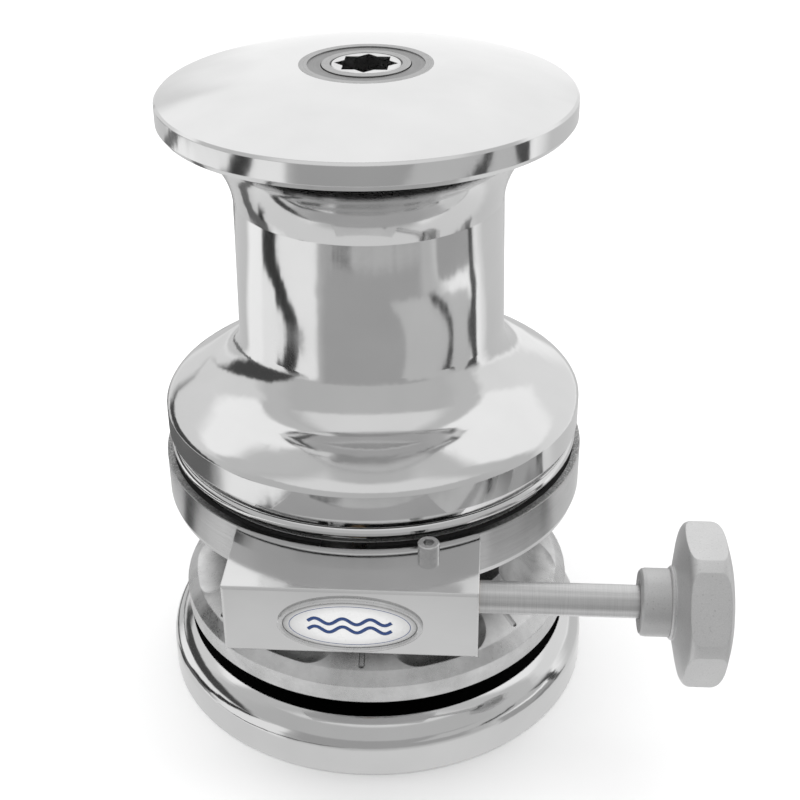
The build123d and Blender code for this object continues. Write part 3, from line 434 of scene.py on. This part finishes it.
LINE_STEPS = 96           # points along a line
LINE_RELIEF = 0.35        # of a line, as a share of its thickness
WAVE_CRESTS = 3
WAVE_HEIGHT = 1.3 * MM
WAVE_REACH = 0.62         # half-width of the waves, as a share of the badge face's
WAVE_LIFT = 1.9 * MM      # of each wave above or below the badge's centre
WAVE_THICKNESS = 1.5 * MM
KEYLINE_WIDTH = 0.9       # as a share of the badge face's
KEYLINE_HEIGHT = 0.84     # as a share of the badge face's
KEYLINE_THICKNESS = 0.25 * MM


def badge_line(name, along, thickness, material, closed=False):
    """A raised enamel line on the badge's face: along turns 0 to 1 into (x, z) from the badge's centre."""
    data = bpy.data.curves.new(name, "CURVE")
    data.dimensions = "3D"
    data.bevel_depth = thickness / 2
    data.bevel_resolution = 3
    spline = data.splines.new("POLY")
    spline.points.add(LINE_STEPS - 1)
    spaces = LINE_STEPS if closed else LINE_STEPS - 1
    for step, point in enumerate(spline.points):
        x, z = along(step / spaces)
        point.co = (x, 0, z, 1)
    spline.use_cyclic_u = closed
    data.use_fill_caps = True
    line = add_object(name, data)
    line.location = (BADGE_CENTRE.x, face_low.y, BADGE_CENTRE.z)
    line.scale.y = LINE_RELIEF
    data.materials.append(material)
    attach(line, "left_jaw")


def wave(lift):
    """A wave across the badge, this far above its centre."""
    reach = BADGE_HALF.x * WAVE_REACH
    return lambda t: (reach * (2 * t - 1), lift + WAVE_HEIGHT * sin(2 * pi * WAVE_CRESTS * t))


def keyline(t):
    """An oval just inside the badge's rim."""
    turn = 2 * pi * t
    return BADGE_HALF.x * KEYLINE_WIDTH * cos(turn), BADGE_HALF.z * KEYLINE_HEIGHT * sin(turn)


def add_badge_mark():
    """A plain mark of two waves inside a fine oval keyline."""
    navy = enamel("mark_navy", (0.012, 0.045, 0.17), coat=0.3).material
    badge_line("mark_wave_upper", wave(WAVE_LIFT), WAVE_THICKNESS, navy)
    badge_line("mark_wave_lower", wave(-WAVE_LIFT), WAVE_THICKNESS, navy)
    badge_line("mark_keyline", keyline, KEYLINE_THICKNESS, navy, closed=True)


add_badge_mark()


# --- camera -------------------------------------------------------------------------------------

CAMERA_AT = Vector((0.04889, -0.53747, 0.43604))
CAMERA_HEADING = 3.97     # degrees to the left of +Y
CAMERA_DIP = 29.76        # degrees below the horizon
CAMERA_ROLL = 0.62        # degrees
CAMERA_LENS = 64.4        # millimetres
CAMERA_SENSOR = 36        # millimetres


def add_camera():
    """The camera, looking along its heading, dipped and then rolled."""
    data = bpy.data.cameras.new("camera")
    data.lens = CAMERA_LENS
    data.sensor_width = CAMERA_SENSOR
    data.clip_start = 0.01
    data.clip_end = 50
    camera = add_object("camera", data)
    turn = (
        Matrix.Rotation(radians(CAMERA_HEADING), 4, "Z")
        @ Matrix.Rotation(radians(90 - CAMERA_DIP), 4, "X")
        @ Matrix.Rotation(radians(-CAMERA_ROLL), 4, "Z")
    )
    camera.matrix_world = Matrix.Translation(CAMERA_AT) @ turn
    bpy.context.scene.camera = camera


add_camera()


# --- studio -------------------------------------------------------------------------------------

FLOOR_SIZE = 16
FLOOR_DROP = 0.2 * MM     # keeps the floor clear of the base's underside


def add_floor():
    """A plain pale floor at deck height, which no reflection shows."""
    mesh = bpy.data.meshes.new("floor")
    half = FLOOR_SIZE / 2
    corners = [(-half, -half, 0), (half, -half, 0), (half, half, 0), (-half, half, 0)]
    mesh.from_pydata(corners, [], [(0, 1, 2, 3)])
    floor = add_object("floor", mesh)
    floor.location.z = -FLOOR_DROP
    floor.visible_glossy = False
    f = Finish("floor", metallic=0.0, Roughness=0.9)
    f.feed("Base Color", f.ramp(f.noise(f.place, scale=3, detail=2), (0.3, 0.86), (0.7, 0.88)))
    mesh.materials.append(f.material)


def add_softbox(name, place, target, width, height, power):
    """A large soft light that faces the target, and that no reflection shows."""
    data = bpy.data.lights.new(name, "AREA")
    data.shape = "RECTANGLE"
    data.size = width
    data.size_y = height
    data.energy = power
    light = add_object(name, data)
    light.location = place
    light.rotation_mode = "QUATERNION"
    light.rotation_quaternion = (Vector(target) - Vector(place)).to_track_quat("-Z", "Y")
    light.visible_glossy = False


TENT_RADIUS = 0.6
TENT_HEIGHT = 0.1         # of the tent's middle above the deck
TENT_BRIGHTNESS = 1.04    # of the bare cloth
FOLD_TURN = 24            # degrees that the tent's folds shift the panels' edges sideways
CREASE_TURN = 5           # degrees that its creases shift them up and down

# Panels of the light tent that the polished steel mirrors, each hung over the ones before it: heading
# from the front towards +X and height above the horizon, half-width and half-height, all in degrees
# seen from the tent's middle, then how much the heading leans for each degree of height, the softness
# of the edge as a share of the size, and the brightness.
TENT_PANELS = (
    (0, 50, 96, 54, 0, 0.10, 0.60),
    (0, 0, 66, 95, 0, 0.3, 0.54),
    (-122, 18, 34, 17, 0, 0.4, 0.78),
    (124, 18, 32, 15, 0, 0.4, 0.86),
    (4, 60, 60, 14, 0, 0.4, 0.80),
    (0, -42, 181, 13, 0, 0.7, 0.74),
    (6, -11, 40, 12, 0, 0.3, 0.40),
    (-150, -16, 34, 16, 0, 0.4, 0.62),
    (146, -16, 38, 16, 0, 0.4, 0.64),
    (-66, -17, 26, 16, 0, 0.2, 0.95),
    (-86, -19, 8, 16, 1.9, 0.4, 0.04),
    (-122, -6, 8, 6, 6, 0.5, 0.18),
    (-44, -27, 8, 4, 7.3, 0.5, 0.05),
    (60, -7, 32, 6, 1, 0.15, 0.56),
    (84, -25, 20, 8, 0, 0.2, 0.40),
    (98, -17, 4, 15, -0.6, 0.5, 0.08),
    (62, -9, 3, 5, 1.5, 0.5, 0.06),
    (-124, -26.5, 42, 3, 0, 0.5, 0.14),
    (-96, 6, 30, 9, -1.5, 0.4, 0.07),
    (92, -29, 9, 3, 2, 0.5, 0.28),
)


def add_tent():
    """A round tent of white cloth hung with grey panels, which only reflections show."""
    mesh = bpy.data.meshes.new("tent")
    ball = bmesh.new()
    bmesh.ops.create_uvsphere(ball, u_segments=64, v_segments=32, radius=TENT_RADIUS)
    ball.to_mesh(mesh)
    ball.free()
    tent = add_object("tent", mesh)
    tent.location.z = TENT_HEIGHT
    tent.visible_camera = False
    tent.visible_diffuse = False
    tent.visible_transmission = False
    tent.visible_shadow = False

    f = Finish("tent_cloth", metallic=0.0)
    direction = f.node("ShaderNodeVectorMath", {0: f.place}, operation="NORMALIZE").outputs[0]
    x, y, z = f.axes(direction)
    fold = f.noise(direction, scale=3.0, detail=2)
    crease = f.noise(direction, scale=11, detail=4, roughness=0.6)
    heading = f.maths("ADD", f.maths("DEGREES", f.maths("ARCTAN2", x, f.maths("MULTIPLY", y, -1.0))),
                    f.spread(fold, -FOLD_TURN / 2, FOLD_TURN / 2))
    height = f.maths("ADD", f.maths("DEGREES", f.maths("ARCSINE", z)),
                   f.spread(crease, -CREASE_TURN / 2, CREASE_TURN / 2))
    brightness = TENT_BRIGHTNESS
    for at_heading, at_height, half_width, half_height, lean, softness, level in TENT_PANELS:
        above = f.maths("SUBTRACT", height, at_height)
        leaning = f.maths("MULTIPLY", above, lean)
        aside = f.maths("SUBTRACT", f.maths("SUBTRACT", heading, at_heading), leaning)
        across = f.maths("DIVIDE", f.maths("ABSOLUTE", aside), half_width)
        along = f.maths("DIVIDE", f.maths("ABSOLUTE", above), half_height)
        inside = f.step(f.maths("MAXIMUM", across, along), 1.0 + softness / 2, 1.0 - softness / 2,
                        interpolation_type="SMOOTHSTEP")
        brightness = f.blend(inside, brightness, level)
    f.shader.inputs["Base Color"].default_value = grey(0.0)
    f.shader.inputs["Specular IOR Level"].default_value = 0.0
    f.shader.inputs["Emission Color"].default_value = grey(1.0)
    f.feed("Emission Strength", brightness)
    f.material.cycles.emission_sampling = "NONE"
    mesh.materials.append(f.material)


def add_world():
    """An even white sky."""
    world = bpy.data.worlds.new("studio")
    bpy.context.scene.world = world
    world.use_nodes = True
    background = world.node_tree.nodes["Background"]
    background.inputs["Color"].default_value = grey(1.0)
    background.inputs["Strength"].default_value = 1.0


add_world()
add_floor()
add_tent()
add_softbox("light_top", place=(0, 0.2, 1.6), target=(0, 0, 0.1), width=1.6, height=1.6, power=12)
add_softbox("light_left", place=(-1.5, -0.3, 1.0), target=(0, 0, 0.12), width=1.2, height=1.2, power=9)
add_softbox("light_right", place=(1.5, 0.1, 0.9), target=(0, 0, 0.12), width=1.0, height=1.2, power=6)

bpy.context.scene.view_settings.view_transform = "Standard"
